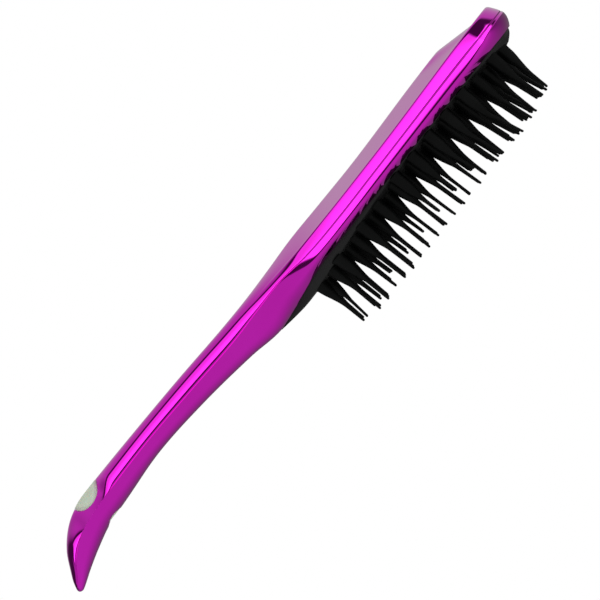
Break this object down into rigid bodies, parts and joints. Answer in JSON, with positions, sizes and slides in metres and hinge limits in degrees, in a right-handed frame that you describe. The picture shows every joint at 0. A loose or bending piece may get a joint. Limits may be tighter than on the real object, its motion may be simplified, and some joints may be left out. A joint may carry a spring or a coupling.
{
  "type": "handled detangling hair brush",
  "caption": "Handled detangling brush: hollow metallised casing with a curved sectioning tail, an inlaid hang eyelet and a flexible pad of teeth in three lengths.",
  "frame": {"origin": "under the middle of the brush, in the plane of the longest tooth tips", "axes": "+X towards the head end, away from the pointed tail; +Y across the brush; +Z out of the back of the head, away from the teeth"},
  "size_m": [0.225, 0.0618, 0.0376],
  "materials": {
    "casing": "vacuum-metallised magenta chrome on moulded ABS, mirror gloss",
    "pad": "black thermoplastic elastomer, satin",
    "teeth": "black thermoplastic elastomer, satin",
    "eyelet": "off-white moulded plastic, soft gloss"
  },
  "bodies": {
    "brush": {"back_shell": "casing", "front_shell": "casing", "bristle_pad": "pad", "hang_eyelet": "eyelet"},
    "column_01": {"tooth_column_01": "teeth"},
    "column_02": {"tooth_column_02": "teeth"},
    "column_03": {"tooth_column_03": "teeth"},
    "column_04": {"tooth_column_04": "teeth"},
    "column_05": {"tooth_column_05": "teeth"},
    "column_06": {"tooth_column_06": "teeth"},
    "column_07": {"tooth_column_07": "teeth"},
    "column_08": {"tooth_column_08": "teeth"},
    "column_09": {"tooth_column_09": "teeth"},
    "column_10": {"tooth_column_10": "teeth"},
    "column_11": {"tooth_column_11": "teeth"},
    "column_12": {"tooth_column_12": "teeth"},
    "column_13": {"tooth_column_13": "teeth"}
  },
  "joints": [
    {"name": "column_01_flex", "type": "hinge", "parent": "brush", "child": "column_01", "pos_m": [0.05, -0.024, 0.0095], "axis": [1, 0, 0], "range_deg": [-15, 15], "stiffness_Nm_per_rad": 0.011},
    {"name": "column_02_flex", "type": "hinge", "parent": "brush", "child": "column_02", "pos_m": [0.05, -0.02, 0.0095], "axis": [1, 0, 0], "range_deg": [-15, 15], "stiffness_Nm_per_rad": 0.0198},
    {"name": "column_03_flex", "type": "hinge", "parent": "brush", "child": "column_03", "pos_m": [0.05, -0.016, 0.0095], "axis": [1, 0, 0], "range_deg": [-15, 15], "stiffness_Nm_per_rad": 0.0242},
    {"name": "column_04_flex", "type": "hinge", "parent": "brush", "child": "column_04", "pos_m": [0.05, -0.012, 0.0095], "axis": [1, 0, 0], "range_deg": [-15, 15], "stiffness_Nm_per_rad": 0.0242},
    {"name": "column_05_flex", "type": "hinge", "parent": "brush", "child": "column_05", "pos_m": [0.05, -0.008, 0.0095], "axis": [1, 0, 0], "range_deg": [-15, 15], "stiffness_Nm_per_rad": 0.0264},
    {"name": "column_06_flex", "type": "hinge", "parent": "brush", "child": "column_06", "pos_m": [0.05, -0.004, 0.0095], "axis": [1, 0, 0], "range_deg": [-15, 15], "stiffness_Nm_per_rad": 0.0242},
    {"name": "column_07_flex", "type": "hinge", "parent": "brush", "child": "column_07", "pos_m": [0.05, 0, 0.0095], "axis": [1, 0, 0], "range_deg": [-15, 15], "stiffness_Nm_per_rad": 0.0264},
    {"name": "column_08_flex", "type": "hinge", "parent": "brush", "child": "column_08", "pos_m": [0.05, 0.004, 0.0095], "axis": [1, 0, 0], "range_deg": [-15, 15], "stiffness_Nm_per_rad": 0.0242},
    {"name": "column_09_flex", "type": "hinge", "parent": "brush", "child": "column_09", "pos_m": [0.05, 0.008, 0.0095], "axis": [1, 0, 0], "range_deg": [-15, 15], "stiffness_Nm_per_rad": 0.0264},
    {"name": "column_10_flex", "type": "hinge", "parent": "brush", "child": "column_10", "pos_m": [0.05, 0.012, 0.0095], "axis": [1, 0, 0], "range_deg": [-15, 15], "stiffness_Nm_per_rad": 0.0242},
    {"name": "column_11_flex", "type": "hinge", "parent": "brush", "child": "column_11", "pos_m": [0.05, 0.016, 0.0095], "axis": [1, 0, 0], "range_deg": [-15, 15], "stiffness_Nm_per_rad": 0.0242},
    {"name": "column_12_flex", "type": "hinge", "parent": "brush", "child": "column_12", "pos_m": [0.05, 0.02, 0.0095], "axis": [1, 0, 0], "range_deg": [-15, 15], "stiffness_Nm_per_rad": 0.0198},
    {"name": "column_13_flex", "type": "hinge", "parent": "brush", "child": "column_13", "pos_m": [0.05, 0.024, 0.0095], "axis": [1, 0, 0], "range_deg": [-15, 15], "stiffness_Nm_per_rad": 0.011}
  ]
}
